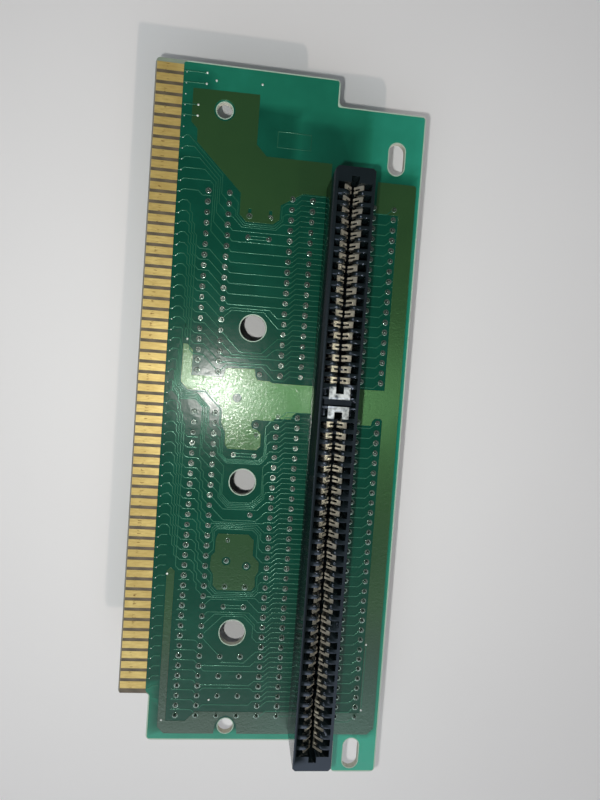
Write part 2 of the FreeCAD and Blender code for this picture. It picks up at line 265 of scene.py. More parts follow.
# The cut tails inside the joints: darker and tinted green, painted shade and a painted reflection of the
# film that keep the middles of the joints dim, with the drag marks of the cutter.
tail, tree, shader, place = startMaterial("cutTailEnd")
drag = addNode(tree, "TexNoise", {"Vector": place, "Scale": 1 / (0.3 * mm), "Detail": 2.0})
skin = addNode(tree, "Mix", {0: drag, 6: "#4f5b54", 7: "#76827a"}, data_type="RGBA")
plug(tree, shader, {"Base Color": skin, "Metallic": 0.87, "Roughness": 0.32})

# Levelled tin on the small pads: whiter and softer than the joints, a painted glint, so each shows as a
# pale dot.
tin, tree, shader, place = startMaterial("levelledTinPaintedGlint")
dull = addNode(tree, "TexNoise", {"Vector": place, "Scale": 1 / (0.5 * mm), "Detail": 2.0})
skin = addNode(tree, "Mix", {0: dull, 6: "#c9d2ca", 7: "#eef2ec"}, data_type="RGBA")
plug(tree, shader, {"Base Color": skin, "Metallic": 0.4, "Roughness": 0.35})

# Moulded polyester: near-black navy, glossy down its walls, satin on top; the two blocks that face
# each other across the front slot's key are painted pale on top, a painted reflection of the lamp beside
# the lens, broken up by scuffs.
plastic, tree, shader, place = startMaterial("mouldedPolyesterBlack")
# how far the painted reflection and scuffs reach from the key's middle and from the slot's top, in mm
keySheenAndScuffs = {"across": 2.4, "along": 3.6, "depth": 0.1}
keyX, keyY = spot(frontSlotColumn, keyRow)
cloud = addNode(tree, "TexNoise", {"Vector": place, "Scale": 1 / (5 * mm), "Detail": 3.0})
navy = addNode(tree, "Mix", {0: cloud, 6: "#0d1516", 7: "#151e20"}, data_type="RGBA")
axes = addNode(tree, "SeparateXYZ", {0: place}).outputs
across = addNode(tree, "Math", {0: axes["X"], 1: keyX, 2: keySheenAndScuffs["across"] * mm}, operation="COMPARE")
along = addNode(tree, "Math", {0: axes["Y"], 1: keyY, 2: keySheenAndScuffs["along"] * mm}, operation="COMPARE")
sheenFoot = slotTop - keySheenAndScuffs["depth"] * mm
topped = addNode(tree, "Math", {0: axes["Z"], 1: sheenFoot}, operation="GREATER_THAN")
block = addNode(tree, "Math", {0: across, 1: along}, operation="MULTIPLY")
block = addNode(tree, "Math", {0: block, 1: topped}, operation="MULTIPLY")
blotches = addNode(tree, "TexNoise", {"Vector": place, "Scale": 1 / (1.1 * mm), "Detail": 4.0})
patchy = addNode(tree, "MapRange", {"Value": blotches, "From Min": 0.32, "From Max": 0.62})
# the pale mix on the key blocks' tops is a painted reflection of the lamp beside the lens, broken by scuffs
sheenAndScuffs = addNode(tree, "Mix", {0: patchy, 6: "#4a5255", 7: "#cdd4d3"}, data_type="RGBA")
navy = addNode(tree, "Mix", {0: block, 6: navy, 7: sheenAndScuffs}, data_type="RGBA")
facing = addNode(tree, "SeparateXYZ", {0: addNode(tree, "TexCoord", {}).outputs["Normal"]})
level = addNode(tree, "Math", {0: facing.outputs["Z"]}, operation="ABSOLUTE")
satin = addNode(tree, "MapRange", {"Value": level, "To Min": 0.12, "To Max": 0.32})
pebble = addNode(tree, "TexNoise", {"Vector": place, "Scale": 1 / (0.25 * mm), "Detail": 2.0})
grain = addNode(tree, "Bump", {"Height": pebble, "Strength": 0.1, "Distance": 0.02 * mm})
plug(tree, shader, {"Base Color": navy, "Normal": grain, "Roughness": satin, "Specular Tint": "#d2e0fb"})

# Phosphor bronze springs, tin over gold flash: pale straw metal, faintly patchy.
bronze, tree, shader, place = startMaterial("platedPhosphorBronze")
patch = addNode(tree, "TexNoise", {"Vector": place, "Scale": 1 / (2.5 * mm), "Detail": 2.0})
straw = addNode(tree, "Mix", {0: patch, 6: "#d3cdb8", 7: "#f1eee2"}, data_type="RGBA")
plug(tree, shader, {"Base Color": straw, "Metallic": 0.72, "Roughness": 0.36})

# Dipped ceramic capacitor: ochre epoxy, soft gloss and slight runs.
ceramic, tree, shader, place = startMaterial("dippedCeramicOchre")
cloud = addNode(tree, "TexNoise", {"Vector": place, "Scale": 1 / (3 * mm), "Detail": 3.0})
ochre = addNode(tree, "Mix", {0: cloud, 6: "#a8742c", 7: "#c58d3f"}, data_type="RGBA")
runs = addNode(tree, "Bump", {"Height": cloud, "Strength": 0.3, "Distance": 0.2 * mm})
plug(tree, shader, {"Base Color": ochre, "Normal": runs, "Roughness": 0.3})

# Painted table top: nearly white, eggshell.
tabletop, tree, shader, place = startMaterial("paleTabletop")
cloud = addNode(tree, "TexNoise", {"Vector": place, "Scale": 1 / (90 * mm), "Detail": 2.0})
pale = addNode(tree, "Mix", {0: cloud, 6: "#edeff0", 7: "#f3f5f6"}, data_type="RGBA")
plug(tree, shader, {"Base Color": pale, "Roughness": 0.6})
print("materials made:", len(bpy.data.materials))

for name, finish in (("board", laminate), ("edge_fingers_front", gold), ("edge_fingers_back", gold)):
    nodes[name].data.materials.clear()
    nodes[name].data.materials.append(finish)


def roundedRing(corners, radius):
    ring = []
    for i, (x, y) in enumerate(corners):
        here = Vector((x, y))
        before = (Vector(corners[i - 1]) - here).normalized()
        after = (Vector(corners[(i + 1) % len(corners)]) - here).normalized()
        a, b = here + before * radius, here + after * radius
        for t in (0, 0.3, 0.7, 1):                   # steps round the corner
            ring.append(tuple(a * (1 - t) ** 2 + here * 2 * t * (1 - t) + b * t ** 2))
    return ring


def roundRing(x, y, radius, length=0.0, count=36):
    ring = []
    for i in range(count):
        turn = 2 * math.pi * (i + 0.5) / count
        shift = math.copysign(length / 2, math.sin(turn))
        ring.append((x + radius * math.cos(turn), y + radius * math.sin(turn) + shift))
    return ring


def flatSheet(name, rings, low, high, rim, steps=0):
    curve = bpy.data.curves.new(name, "CURVE")
    curve.dimensions, curve.fill_mode = "2D", "BOTH"
    curve.extrude = (high - low) / 2 - rim
    curve.bevel_depth, curve.bevel_resolution = rim, steps
    curve.offset = -rim                              # so that the rim stays inside the rings
    for ring in rings:
        line = curve.splines.new("POLY")
        line.points.add(len(ring) - 1)
        for point, (x, y) in zip(line.points, ring):
            point.co = (x, y, 0, 1)
        line.use_cyclic_u = True
    sheet = bpy.data.objects.new(name, curve)
    bpy.context.collection.objects.link(sheet)
    pick(sheet)
    bpy.ops.object.convert(target="MESH")            # made a mesh before it is raised to its place
    sheet = bpy.context.object
    sheet.location.z = (low + high) / 2
    settle(sheet)
    return sheet


# Solder mask, in mm: the board's outline with the way in from each corner, and the holes.
maskSheet = {
    "margin": 0.3, "ring": 0.22, "thickness": 0.04, "rim": 0.012, "cornerRadius": 0.6,
    "cell": 2.54, "cutReach": (33, 86),              # cross cuts, where the tint can change
    "roundHoles": [(-6.1, 25.2, 3.175), (-6.1, -12.9, 3.175), (-6.1, -51.0, 3.175),
                   (-16.3, 76.4, 1.9), (-6.25, -75.0, 1.9)],
    "oblongHoles": [(26.45, 69.5), (26.45, -82.0)], "oblongRadius": 2.0, "oblongStraight": 3.8,
    "outline": [(-26.5, 86.95), (11.15, 86.95), (11.15, 80.65), (33.15, 80.65), (33.15, -86.95),
                (21.45, -86.95), (21.45, -78.7), (-25.75, -78.7), (-25.75, -67.2), (-26.5, -66.4)],
    "inward": [(0, -1), (-1, -1), (-1, -1), (-1, -1), (-1, 1), (1, 1), (1, 1), (1, 1), (1, 0), (0, 0)],
    # how the film's tint changes: left, right, bottom, top, softness, depth
    # the pale patches are painted light: light from the table coming up through the laminate
    "palePatches": [(-27.5, 20.5, -80.0, -76.4, 2.0, -0.5), (18.0, 34.0, -88.0, -77.0, 2.0, -0.95),
                    (31.9, 34.0, -88.0, 82.0, 1.2, -0.5), (20.0, 34.0, 62.0, 82.0, 4.0, -0.4)],
    "darkPatches": [(-27.5, 31.9, -64.0, 66.0, 2.2, 1.0), (-23.4, 31.9, -75.8, -60.0, 1.4, 1.0),
                    (-27.5, 2.0, 60.0, 78.5, 3.0, 0.8), (2.0, 18.0, 60.0, 76.0, 5.0, 0.7),
                    (-27.5, -19.0, 76.0, 84.5, 3.0, 0.6)],
}


def makeMask(name, low, high):
    s = maskSheet
    inset, oblong = s["margin"], (s["oblongRadius"] + s["ring"]) * mm
    corners = zip(s["outline"], s["inward"])
    outline = [((x + a * inset) * mm, (y + b * inset) * mm) for (x, y), (a, b) in corners]
    rings = [roundedRing(outline, s["cornerRadius"] * mm)]
    rings += [roundRing(x * mm, y * mm, (r + s["ring"]) * mm) for x, y, r in s["roundHoles"]]
    rings += [roundRing(x * mm, y * mm, oblong, s["oblongStraight"] * mm) for x, y in s["oblongHoles"]]
    sheet = flatSheet(name, rings, low, high, s["rim"] * mm)
    bpy.ops.object.mode_set(mode="EDIT")
    for axis, reach in enumerate(s["cutReach"]):
        count = int(2 * reach / s["cell"])
        for i in range(count + 1):
            bpy.ops.mesh.select_all(action="SELECT")
            at = [0.0, 0.0, 0.0]
            at[axis] = (-reach + i * s["cell"]) * mm
            bpy.ops.mesh.bisect(plane_co=at, plane_no=[float(axis == 0), float(axis == 1), 0.0])
    bpy.ops.object.mode_set(mode="OBJECT")
    tint = sheet.data.attributes.new("depth", "FLOAT", "POINT")
    for i, vertex in enumerate(sheet.data.vertices):
        x, y = vertex.co.x / mm, vertex.co.y / mm
        deepest = palest = 0.0
        for left, right, bottom, top, soft, depth in s["darkPatches"] + s["palePatches"]:
            inside = min(x - left, right - x, y - bottom, top - y) / soft + 0.5
            t = min(1.0, max(0.0, inside))
            deepest = max(deepest, depth * t * t * (3 - 2 * t))
            palest = min(palest, depth * t * t * (3 - 2 * t))
        tint.data[i].value = deepest + palest
    addPiece(sheet, name, maskGreen, "solder_mask")


makeMask("solder_mask_front", boardFront, boardFront + maskSheet["thickness"] * mm)
makeMask("solder_mask_back", boardBack - maskSheet["thickness"] * mm, boardBack)
print("solder mask laid on both faces")

# Copper areas: rise and rim in mm, outlines and the gaps in them in grid steps.
copperAreas = {
    "rise": 0.085, "rim": 0.042, "rimSteps": 2, "gapSides": 24,
    "top": [(-2.0, -9.3), (4.25, -9.4), (4.25, -4.75), (5.25, -3.75), (11.6, -3.75), (11.6, -0.6),
            (9.0, -0.6), (6.9, 0.7), (6.88, 2.1), (6.3, 2.55), (3.7, 2.55), (3.05, 1.9), (3.03, -0.1),
            (-1.35, -4.4), (-1.4, -5.6), (-2.0, -6.2)],
    "middle": [(-1.45, 14.55), (-1.05, 14.55), (-0.5, 15.1), (-0.5, 17.5), (2.5, 17.5), (2.75, 16.6),
               (5.5, 16.5), (5.62, 17.2), (5.85, 17.55), (7.0, 17.6), (7.3, 17.75), (18.45, 17.75),
               (18.45, 0.55), (16.2, 0.55), (16.2, -2.5), (19.85, -2.5), (20.05, -2.3), (20.05, 52.2),
               (19.4, 52.85), (6.15, 52.85), (6.05, 51.9), (5.6, 51.2), (5.0, 50.95), (4.4, 51.2),
               (3.95, 51.9), (3.85, 52.85), (-1.0, 52.85), (-1.65, 52.2), (-1.65, 36.6), (-1.3, 36.25),
               (-0.9, 36.6), (-0.9, 51.55), (1.0, 51.55), (1.9, 50.6), (18.45, 50.6), (18.45, 20.75),
               (18.25, 20.55), (17.75, 20.55), (17.45, 20.85), (17.35, 21.3), (13.0, 21.3), (12.6, 20.5),
               (9.85, 20.5), (9.5, 20.8), (9.35, 21.2), (7.8, 21.2), (7.6, 21.45), (6.35, 21.45),
               (5.95, 21.4), (5.6, 21.6), (5.5, 21.95), (5.65, 22.3), (6.15, 22.4), (6.55, 22.85),
               (6.55, 24.0), (6.2, 24.4), (3.4, 24.4), (3.1, 24.0), (3.05, 22.8), (2.62, 21.9), (2.62, 20.5),
               (1.0, 18.88), (-0.8, 18.88), (-1.45, 18.2)],
    "island": [(3.05, 32.75), (6.0, 32.75), (6.55, 33.3), (6.55, 34.8), (7.2, 35.5), (7.2, 36.4), (6.9, 37.0),
               (6.95, 37.9), (6.6, 38.35), (3.3, 38.35), (2.85, 37.9), (2.8, 36.8), (2.45, 36.2), (2.5, 35.0),
               (2.85, 34.6), (2.85, 33.3)],
    "oblongGaps": {"top": [(4.0, 1.5), (6.0, 1.5)], "middle": [], "island": []}, "gapSize": (0.3, 0.36),
    "roundGaps": {"top": [(1.03, -7.56, 0.98)], "middle": [(4.0, 19.4, 0.42)],
                  "island": [(4.0, 35.45, 0.42), (6.0, 35.9, 0.42)]},
}


def makeAreas(name, low, high):
    s = copperAreas
    w, h = s["gapSize"]
    made = []
    for area in ("top", "middle", "island"):
        rings = [[spot(u, v) for u, v in s[area]]]
        rings += [roundRing(*spot(u, v), r * pitch, count=s["gapSides"]) for u, v, r in s["roundGaps"][area]]
        for u, v in s["oblongGaps"][area]:
            corners = ((-1, 1), (1, 1), (1, -1), (-1, -1))
            rings.append([spot(u + a * w / 2, v + b * h / 2) for a, b in corners])
        made.append(flatSheet(name + area, rings, low, high, s["rim"] * mm, s["rimSteps"]))
    pick(made[0])
    for piece in made:
        piece.select_set(True)
    bpy.ops.object.join()
    addPiece(made[0], name, maskOverCopper, "solder_mask")


makeAreas("copper_areas_front", boardFront, boardFront + copperAreas["rise"] * mm)
makeAreas("copper_areas_back", boardBack - copperAreas["rise"] * mm, boardBack)
print("copper areas laid")

traces = {
    "width": 0.28, "rise": 0.1, "smoothAngle": 50,
    "shoulders": [(1.0, 0.0), (0.94, 0.5), (0.72, 0.85), (0.36, 1.0)],   # across and up, as shares
    # bends, in grid steps, from the second column to a row of the third, round the top area and the holes
    "detours": {
        0: [(2.15, 0.1), (2.87, 0.82), (2.87, 1.98), (3.6, 2.72), (6.4, 2.72), (7.05, 2.1), (7.05, 0.9)],
        1: [(2.15, 1.1), (2.7, 1.62), (2.7, 2.1), (3.5, 2.9), (6.5, 2.9), (7.2, 2.2), (7.2, 1.76)],
        2: [(2.15, 2.1), (2.42, 2.18), (3.32, 3.08), (6.6, 3.08), (7.2, 2.5)],
        11: [(2.2, 11.05), (2.55, 11.0), (2.8, 10.78), (6.55, 10.78), (7.3, 11.5)],
        12: [(2.2, 11.72), (2.9, 11.02), (6.0, 11.02), (7.46, 12.48)],
        13: [(2.15, 13.2), (3.9, 14.95), (6.05, 14.95), (7.45, 13.55)],
        14: [(2.15, 14.2), (3.2, 15.25), (6.5, 15.25), (7.25, 14.55)],
        15: [(2.15, 15.2), (2.5, 15.52)],
        16: [(2.2, 16.1), (2.5, 16.03), (6.6, 16.03), (7.05, 16.48)],
        17: [(2.2, 16.85), (2.75, 16.3), (6.2, 16.3), (7.38, 17.48)],
        29: [(2.15, 29.12), (3.33, 30.3), (6.68, 30.3)],
        30: [(2.15, 30.12), (3.4, 31.37), (6.61, 31.37)],
        31: [(2.15, 31.25), (2.5, 31.6), (7.35, 31.6)],
        32: [(2.2, 31.92), (2.35, 31.77), (6.79, 31.77)],
        33: [(2.2, 32.8), (2.4, 32.6), (2.4, 32.24), (2.7, 31.94), (6.6, 31.94), (7.22, 32.56), (7.22, 33.2)],
        34: [(2.2, 33.8), (2.52, 33.48), (2.52, 32.41), (2.82, 32.11), (6.5, 32.11), (7.07, 32.68),
             (7.07, 34.05)],
        35: [(2.2, 34.8), (2.66, 34.34), (2.66, 32.58), (2.96, 32.28), (6.4, 32.28), (6.92, 32.8),
             (6.92, 34.9)],
        36: [(2.15, 36.2), (2.64, 36.75), (2.68, 38.03), (3.2, 38.55), (6.7, 38.55), (7.12, 38.13),
             (7.12, 36.86)],
        37: [(2.15, 37.2), (2.5, 37.55), (2.5, 38.1), (3.13, 38.73), (6.82, 38.73), (7.27, 38.28),
             (7.27, 37.71)],
        38: [(2.15, 38.2), (2.86, 38.91), (6.95, 38.91), (7.36, 38.5)],
        39: [(2.2, 39.05), (2.5, 39.09), (7.1, 39.09)],
        40: [(2.2, 39.8), (2.7, 39.28), (6.3, 39.28)],
        41: [(2.2, 40.85), (2.5, 40.55), (6.57, 40.55)],
        42: [(2.2, 41.75), (3.2, 40.75), (6.2, 40.75), (7.2, 41.75), (7.2, 42.18)],
        43: [(2.25, 42.7), (4.0, 40.95), (6.1, 40.95), (7.05, 41.9), (7.05, 43.03)],
        44: [(4.1, 45.62), (6.36, 45.62)],
        45: [(2.2, 45.95), (7.03, 45.95)],
        47: [(2.2, 47.9), (7.05, 47.9)],
        48: [(2.2, 48.5), (2.5, 48.2), (7.2, 48.2)],
        49: [(2.2, 50.3), (2.6, 49.9), (7.1, 49.9)],
    },
    "straight": list(range(3, 11)) + [46],           # rows that run straight across
    "linkedPairs": (4.0, 24.95, 40.0),               # rows of two joints with two short links
    "frame": [(6.2, -6.2), (9.4, -6.2), (9.4, -4.72), (6.2, -4.72), (6.2, -6.2)],
}


def fromFinger(n):
    return [(-2.92, n + 0.33), (-2.68, n + 0.33), (-2.4, n + 0.05)]


def toColumnTen(n):
    return [(7.5, n + 0.48), (8.4, n + 0.48), (8.86, n + 0.02), (9.85, n + 0.02)]


def fingerRuns():
    runs = [[(-2.92, v), (u, v)] for u, v in ((-0.8, -10.8), (-0.8, -9.8), (-1.45, -7.8), (-1.45, -6.8))]
    for k in range(5):                               # slanting bundle beside the top area
        n, lane, turn, peel = k - 5, 1.25 - 0.2 * k, -2.1 + 0.55 * k, 0.15 + 0.9 * k
        slant = [(turn, n + 0.05), (lane, n + 0.05 + lane - turn), (lane, peel), (1.85, peel + 1.85 - lane)]
        runs.append(fromFinger(n) + slant)
    runs.append(fromFinger(0) + [(-0.95, 0.05), (-0.55, 0.45), (0.28, 0.45)])
    # stepped bus, then between two joints of the first column
    for n in list(range(1, 12)) + list(range(19, 33)):
        bus = [(-1.95, n + 0.05), (-1.6, n + 0.4), (-1.6, n + 1.0), (-1.35, n + 1.25), (-1.35, n + 2.0),
               (-1.1, n + 2.25), (-1.1, n + 3.0), (-0.85, n + 3.25), (-0.85, n + 4.1), (-0.5, n + 4.45)]
        if n < 12:
            bus += [(0.45, n + 4.45), (1.8, n + 5.8)]
        elif n < 21:
            bus += [(0.45, n + 4.45)]
        else:
            bus += [(0.55, n + 4.45), (0.95, n + 4.85), (0.95, n + 5.45), (1.25, n + 5.75), (1.25, n + 6.3),
                    (1.8, n + 6.85)]
        runs.append(fromFinger(n) + bus)
    runs.append(fromFinger(12) + [(-1.95, 12.05), (-1.5, 12.35), (-1.35, 12.6), (-1.35, 13.8), (-1.1, 14.05)])
    for k in range(6):                               # six lines that turn under the middle area
        n, lane, level = 13 + k, -1.6 - 0.12 * k, 19.05 + 0.15 * k
        run = fromFinger(n) + [(lane - 0.15, n + 0.05), (lane, n + 0.2)]
        run += [(lane, level - 0.75), (lane + 0.75, level)]
        if k == 0:
            run += [(0.93, level), (2.47, 20.6), (2.47, 21.95), (2.9, 22.82), (2.9, 24.97), (3.35, 25.42),
                    (6.4, 25.42), (6.95, 24.87), (6.95, 22.03)]
            run += toColumnTen(21)
        else:
            down, peel = 1.56 - 0.16 * k, 21.5 + 0.75 * k
            run += [(down - 20.5 + level, level), (down, 20.5), (down, peel), (1.8, peel + 1.8 - down)]
        runs.append(run)
    return runs + [fromFinger(n) + [(-1.8, n + 0.05)] for n in range(33, 49)]


def columnRuns():
    runs = [[(-0.5, n + 0.42), (0.55, n + 0.42)] for n in range(37, 43)]
    runs += [[(-0.5, n + 0.4), (1.5, n + 0.4), (1.8, n + 0.7)] for n in range(43, 51)]
    runs += [bends + toColumnTen(n) for n, bends in traces["detours"].items()]
    runs += [[(2.15, n + 0.1), (2.5, n + 0.48)] + toColumnTen(n) for n in traces["straight"]]
    for k in (1, 2, 3):                              # over the middle hole
        n, level, left, right = 21 + k, 25.42 + 0.12 * k, 2.9 - 0.15 * k, 6.95 + 0.1 * k
        turn = 6.4 + 0.06 * k
        runs.append([(2.15, n + 0.12), (left, n - 2.03 + left), (left, level - 3.35 + left), (3.35, level),
                     (turn, level), (right, level + turn - right), (right, n + 7.98 - right),
                     *toColumnTen(n)])
    for k in range(4):                               # round its left and foot
        n, level, left, right = 25 + k, 29.62 + 0.17 * k, 3.15 - 0.12 * k, 6.95 + 0.1 * k
        slant, turn = 0.75 + 0.06 * k, 6.0 + 0.08 * k
        runs.append([(2.15, n + 0.12), (left, n - 2.03 + left), (left, level - slant), (left + slant, level),
                     (turn, level), (right, level + turn - right), (right, n + 7.98 - right),
                     *toColumnTen(n)])
    runs.append([(2.2, 43.2), (3.8, 44.8)])
    for v in traces["linkedPairs"]:
        runs += [[(4.0, v - 0.15), (6.0, v - 0.15)], [(4.0, v + 0.15), (6.0, v + 0.15)]]
    for n in contactRows:                            # third slot's columns, and on under the front slot
        runs.append([(8.2, n), (8.4, n), (8.9, n - 0.5), (11.7, n - 0.5)])
        runs.append([(10.2, n), (11.7, n)])
        runs.append([(14.6, n + 0.55), (17.3, n + 0.55), (17.8, n + 0.1)])
    runs.append([(18.62, 43.5), (18.62, 50.3)])
    return runs


def backRuns():
    runs = []
    for n in range(-11, 0):
        lane = -1.9 - 0.05 * n
        runs.append([(-2.92, n), (-2.3, n), (lane, n + 2.3 + lane), (lane, 0.6)])
    for n in range(49):
        runs.append([(-2.92, n), (-2.1, n), (-1.6, n + 0.5), (-0.6, n + 0.5)])
    for n in contactRows:
        if n % 2:
            runs.append([(2.3, n + 0.5), (3.0, n + 0.5), (3.3, n + 0.2)])
        else:
            runs.append([(6.6, n + 0.2), (6.9, n + 0.5), (7.7, n + 0.5)])
        runs.append([(10.4, n + 0.5), (11.3, n + 0.5), (11.75, n + 0.1)])
        runs.append([(14.2, n), (14.6, n), (15.0, n + 0.4), (15.6, n + 0.4)])
        runs.append([(18.2, n), (18.5, n)])
    return runs


def makeTraces(name, runs, base, rise):
    half = traces["width"] * mm / 2
    section = bpy.data.curves.new("traceSection", "CURVE")
    section.dimensions = "2D"
    edge = section.splines.new("POLY")
    edge.points.add(2 * len(traces["shoulders"]) - 1)
    ring = [(across * half, up * rise) for across, up in traces["shoulders"]]
    ring += [(-x, y) for x, y in reversed(ring)]
    for point, (x, y) in zip(edge.points, ring):
        point.co = (x, y, 0, 1)
    edge.use_cyclic_u = True
    sectionHolder = bpy.data.objects.new("traceSection", section)
    curve = bpy.data.curves.new(name, "CURVE")
    curve.dimensions, curve.twist_mode = "3D", "Z_UP"
    curve.bevel_mode, curve.bevel_object, curve.use_fill_caps = "OBJECT", sectionHolder, True
    for run in runs:
        line = curve.splines.new("POLY")
        line.points.add(len(run) - 1)
        for point, (u, v) in zip(line.points, run):
            point.co = (*spot(u, v), base, 1)
    piece = bpy.data.objects.new(name, curve)
    bpy.context.collection.objects.link(piece)
    pick(piece)
    bpy.ops.object.convert(target="MESH")
    piece = bpy.context.object
    bpy.data.objects.remove(sectionHolder)
    faceOutward(piece)
    bpy.ops.object.shade_smooth_by_angle(angle=math.radians(traces["smoothAngle"]))
    addPiece(piece, name, maskOverTrace, "solder_mask")


frontRuns = fingerRuns() + columnRuns() + [traces["frame"]]
makeTraces("copper_traces_front", frontRuns, boardFront, traces["rise"] * mm)
makeTraces("copper_traces_back", backRuns(), boardBack, -traces["rise"] * mm)
print("traces laid")


def raiseRings(s):
    bpy.ops.mesh.primitive_circle_add(vertices=s["sides"], radius=s["radius"] * mm, fill_type="NGON",
                                      location=(0, 0, 0))
    master = bpy.context.object
    pick(master)
    bpy.ops.object.mode_set(mode="EDIT")
    bpy.ops.mesh.select_all(action="SELECT")
    for rise, squeeze in s["rings"]:
        bpy.ops.mesh.extrude_region_move(TRANSFORM_OT_translate={"value": (0, 0, rise * mm)})
        bpy.ops.transform.resize(value=(squeeze, squeeze, 1))
    faceOutward(master)
    return master


solderJoint = {
    "radius": 0.8, "sides": 8, "tailReach": 0.54, "base": 0.01, "smoothAngle": 60,
    # rise in mm and squeeze of each ring: round collar of solder, groove, tail and its cut end
    "rings": [(0.08, 0.93), (0.05, 0.82), (-0.09, 0.72), (0.02, 0.72), (0.75, 0.92), (0.03, 0.85)],
    "sizes": (0.92, 1.06), "ovals": (0.88, 1.04), "leans": (-0.08, 0.08),   # no two joints are alike
    "frontColumns": (0, 2, 8, 10, 16, 18), "backColumns": (12, 14),
    "extras": [(4, 2), (6, 2), (4, 4), (6, 4), (6, 17), (6, 21.95), (6, 22.9), (4, 24.95), (6, 24.95),
               (6, 30.8), (4, 33.4), (4, 35.45), (6, 35.9), (4, 38), (6, 38), (4, 40), (6, 40), (4, 45),
               (6, 45), (4, 47), (6, 47), (4, 49), (6, 49), (4, 51), (6, 51)],
}


def makeJointMaster():
    s = solderJoint
    master = raiseRings(s)
    bpy.ops.object.shade_smooth_by_angle(angle=math.radians(s["smoothAngle"]))
    master.data.materials.append(solder)
    master.data.materials.append(tail)
    for face in master.data.polygons:
        inner = face.center.xy.length < s["tailReach"] * mm
        face.material_index = int(inner and face.center.z > s["base"] * mm)
    return master


def jointPlaces(spots, height, up):
    s = solderJoint
    flip = Matrix.Identity(4) if up else Matrix.Rotation(math.pi, 4, "X")
    places = []
    for u, v in spots:
        size = shuffle.uniform(*s["sizes"])
        oval = shuffle.uniform(*s["ovals"])
        leanX = Matrix.Rotation(shuffle.uniform(*s["leans"]), 4, "X")
        leanY = Matrix.Rotation(shuffle.uniform(*s["leans"]), 4, "Y")
        turn = Matrix.Rotation(shuffle.uniform(0, math.pi), 4, "Z")
        shape = Matrix.Diagonal((size * oval, size, size, 1))
        places.append(Matrix.Translation((*spot(u, v), height)) @ flip @ leanX @ leanY @ turn @ shape)
    return places


jointMaster = makeJointMaster()
for column in solderJoint["frontColumns"]:
    row = joinCopies(jointMaster, jointPlaces([(column, v) for v in contactRows], boardFront, True))
    addPiece(row, "solder_joints_front_%d" % column, None, "contact_metal")
row = joinCopies(jointMaster, jointPlaces(solderJoint["extras"], boardFront, True))
addPiece(row, "solder_joints_front_single", None, "contact_metal")
for column in solderJoint["backColumns"]:
    row = joinCopies(jointMaster, jointPlaces([(column, v) for v in contactRows], boardBack, False))
    addPiece(row, "solder_joints_back_%d" % column, None, "contact_metal")
bpy.data.objects.remove(jointMaster)

viaPad = {
    "radius": 0.3, "sides": 10,
    "rings": [(0.11, 0.95), (0.08, 0.75), (0.05, 0.45)],   # filled with solder to a low dome
    "spots": [(-0.8, -10.8), (-0.8, -9.8), (0.1, -10.2), (-1.45, -7.8), (-1.45, -6.8), (4.4, -10.35),
              (-1.6, 36.9), (-1.3, 51.5), (3.2, 49.4), (-1.1, 14.1), (18.62, 43.5), (18.62, 50.3)],
    # the small dots by the fingers are painted glints, set where each trace leaves the film
    "fingerGlintDots": [(-2.68, n + 0.33) for n in range(-11, 48)], "dotScale": 0.5,   # small, by the fingers
}
viaMaster = raiseRings(viaPad)
bpy.ops.object.shade_smooth()
places = [Matrix.Translation((*spot(u, v), boardFront)) for u, v in viaPad["spots"]]
dotScale = Matrix.Scale(viaPad["dotScale"], 4)
places += [Matrix.Translation((*spot(u, v), boardFront)) @ dotScale for u, v in viaPad["fingerGlintDots"]]
addPiece(joinCopies(viaMaster, places), "via_pads_front", tin, "contact_metal")
bpy.data.objects.remove(viaMaster)
print("solder joints and vias set")

# Contact springs: a flat strip that leans in to its knee and flares to a tip, forked across the knee.
spring = {
    "width": 1.44, "stock": 0.22, "footOuter": 2.69, "footInner": 2.64, "footHeight": 1.5, "strips": 3,
    "slit": 0.95, "smoothAngle": 40, "leans": (-0.012, 0.012),
    "bends": [(2.3, 4.2), (1.45, 7.7), (0.42, 11.1), (1.5, 12.5), (2.2, 13.2)],   # out from the middle, up
}


